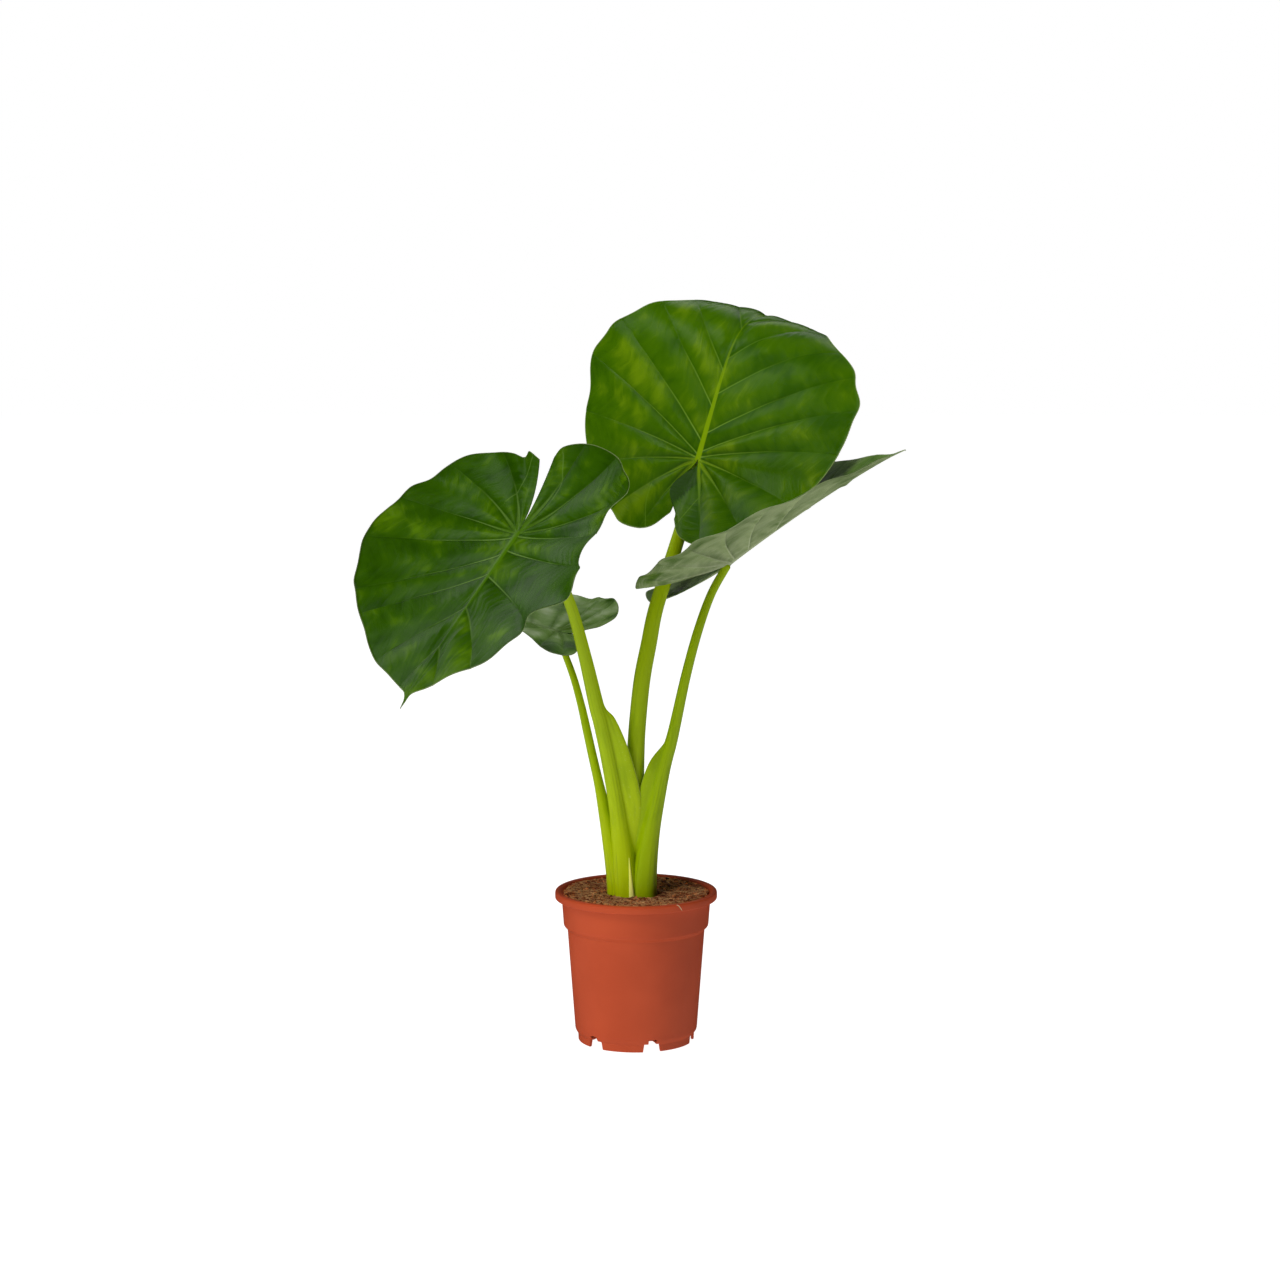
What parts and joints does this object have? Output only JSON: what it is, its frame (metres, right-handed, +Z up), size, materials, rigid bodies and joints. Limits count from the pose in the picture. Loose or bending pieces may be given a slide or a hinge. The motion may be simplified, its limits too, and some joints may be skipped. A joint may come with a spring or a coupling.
{
  "type": "potted house plant",
  "caption": "Upright aroid house plant with large arrow-shaped, ribbed leaf blades on thick sheathed stalks, growing in a soil-filled plastic nursery pot that stands on its foot ring.",
  "frame": {"origin": "centre of the pot's foot circle, on the surface the pot stands on", "axes": "+Z up along the pot's axis, -Y towards the viewer of the plant's usual front, +X to that viewer's right"},
  "size_m": [0.5664, 0.4772, 0.7686],
  "materials": {
    "pot": "smooth satin polypropylene, terracotta coloured",
    "soil": "moist coir fibre and peat",
    "blade_left": "waxy leaf, dark green",
    "blade_top": "waxy leaf, mid green",
    "blade_right": "waxy leaf, grey-green below",
    "blade_back": "waxy leaf, dark green",
    "petiole_left": "smooth lime green stalk",
    "petiole_top": "smooth lime green stalk",
    "petiole_right": "smooth lime green stalk",
    "petiole_back": "smooth lime green stalk",
    "cataphyll": "pale yellow-green spike"
  },
  "bodies": {
    "root": {"pot": "pot", "soil": "soil", "blade_left": "blade_left", "blade_top": "blade_top", "blade_right": "blade_right", "blade_back": "blade_back", "petiole_left": "petiole_left", "petiole_top": "petiole_top", "petiole_right": "petiole_right", "petiole_back": "petiole_back", "cataphyll": "cataphyll"}
  },
  "joints": []
}
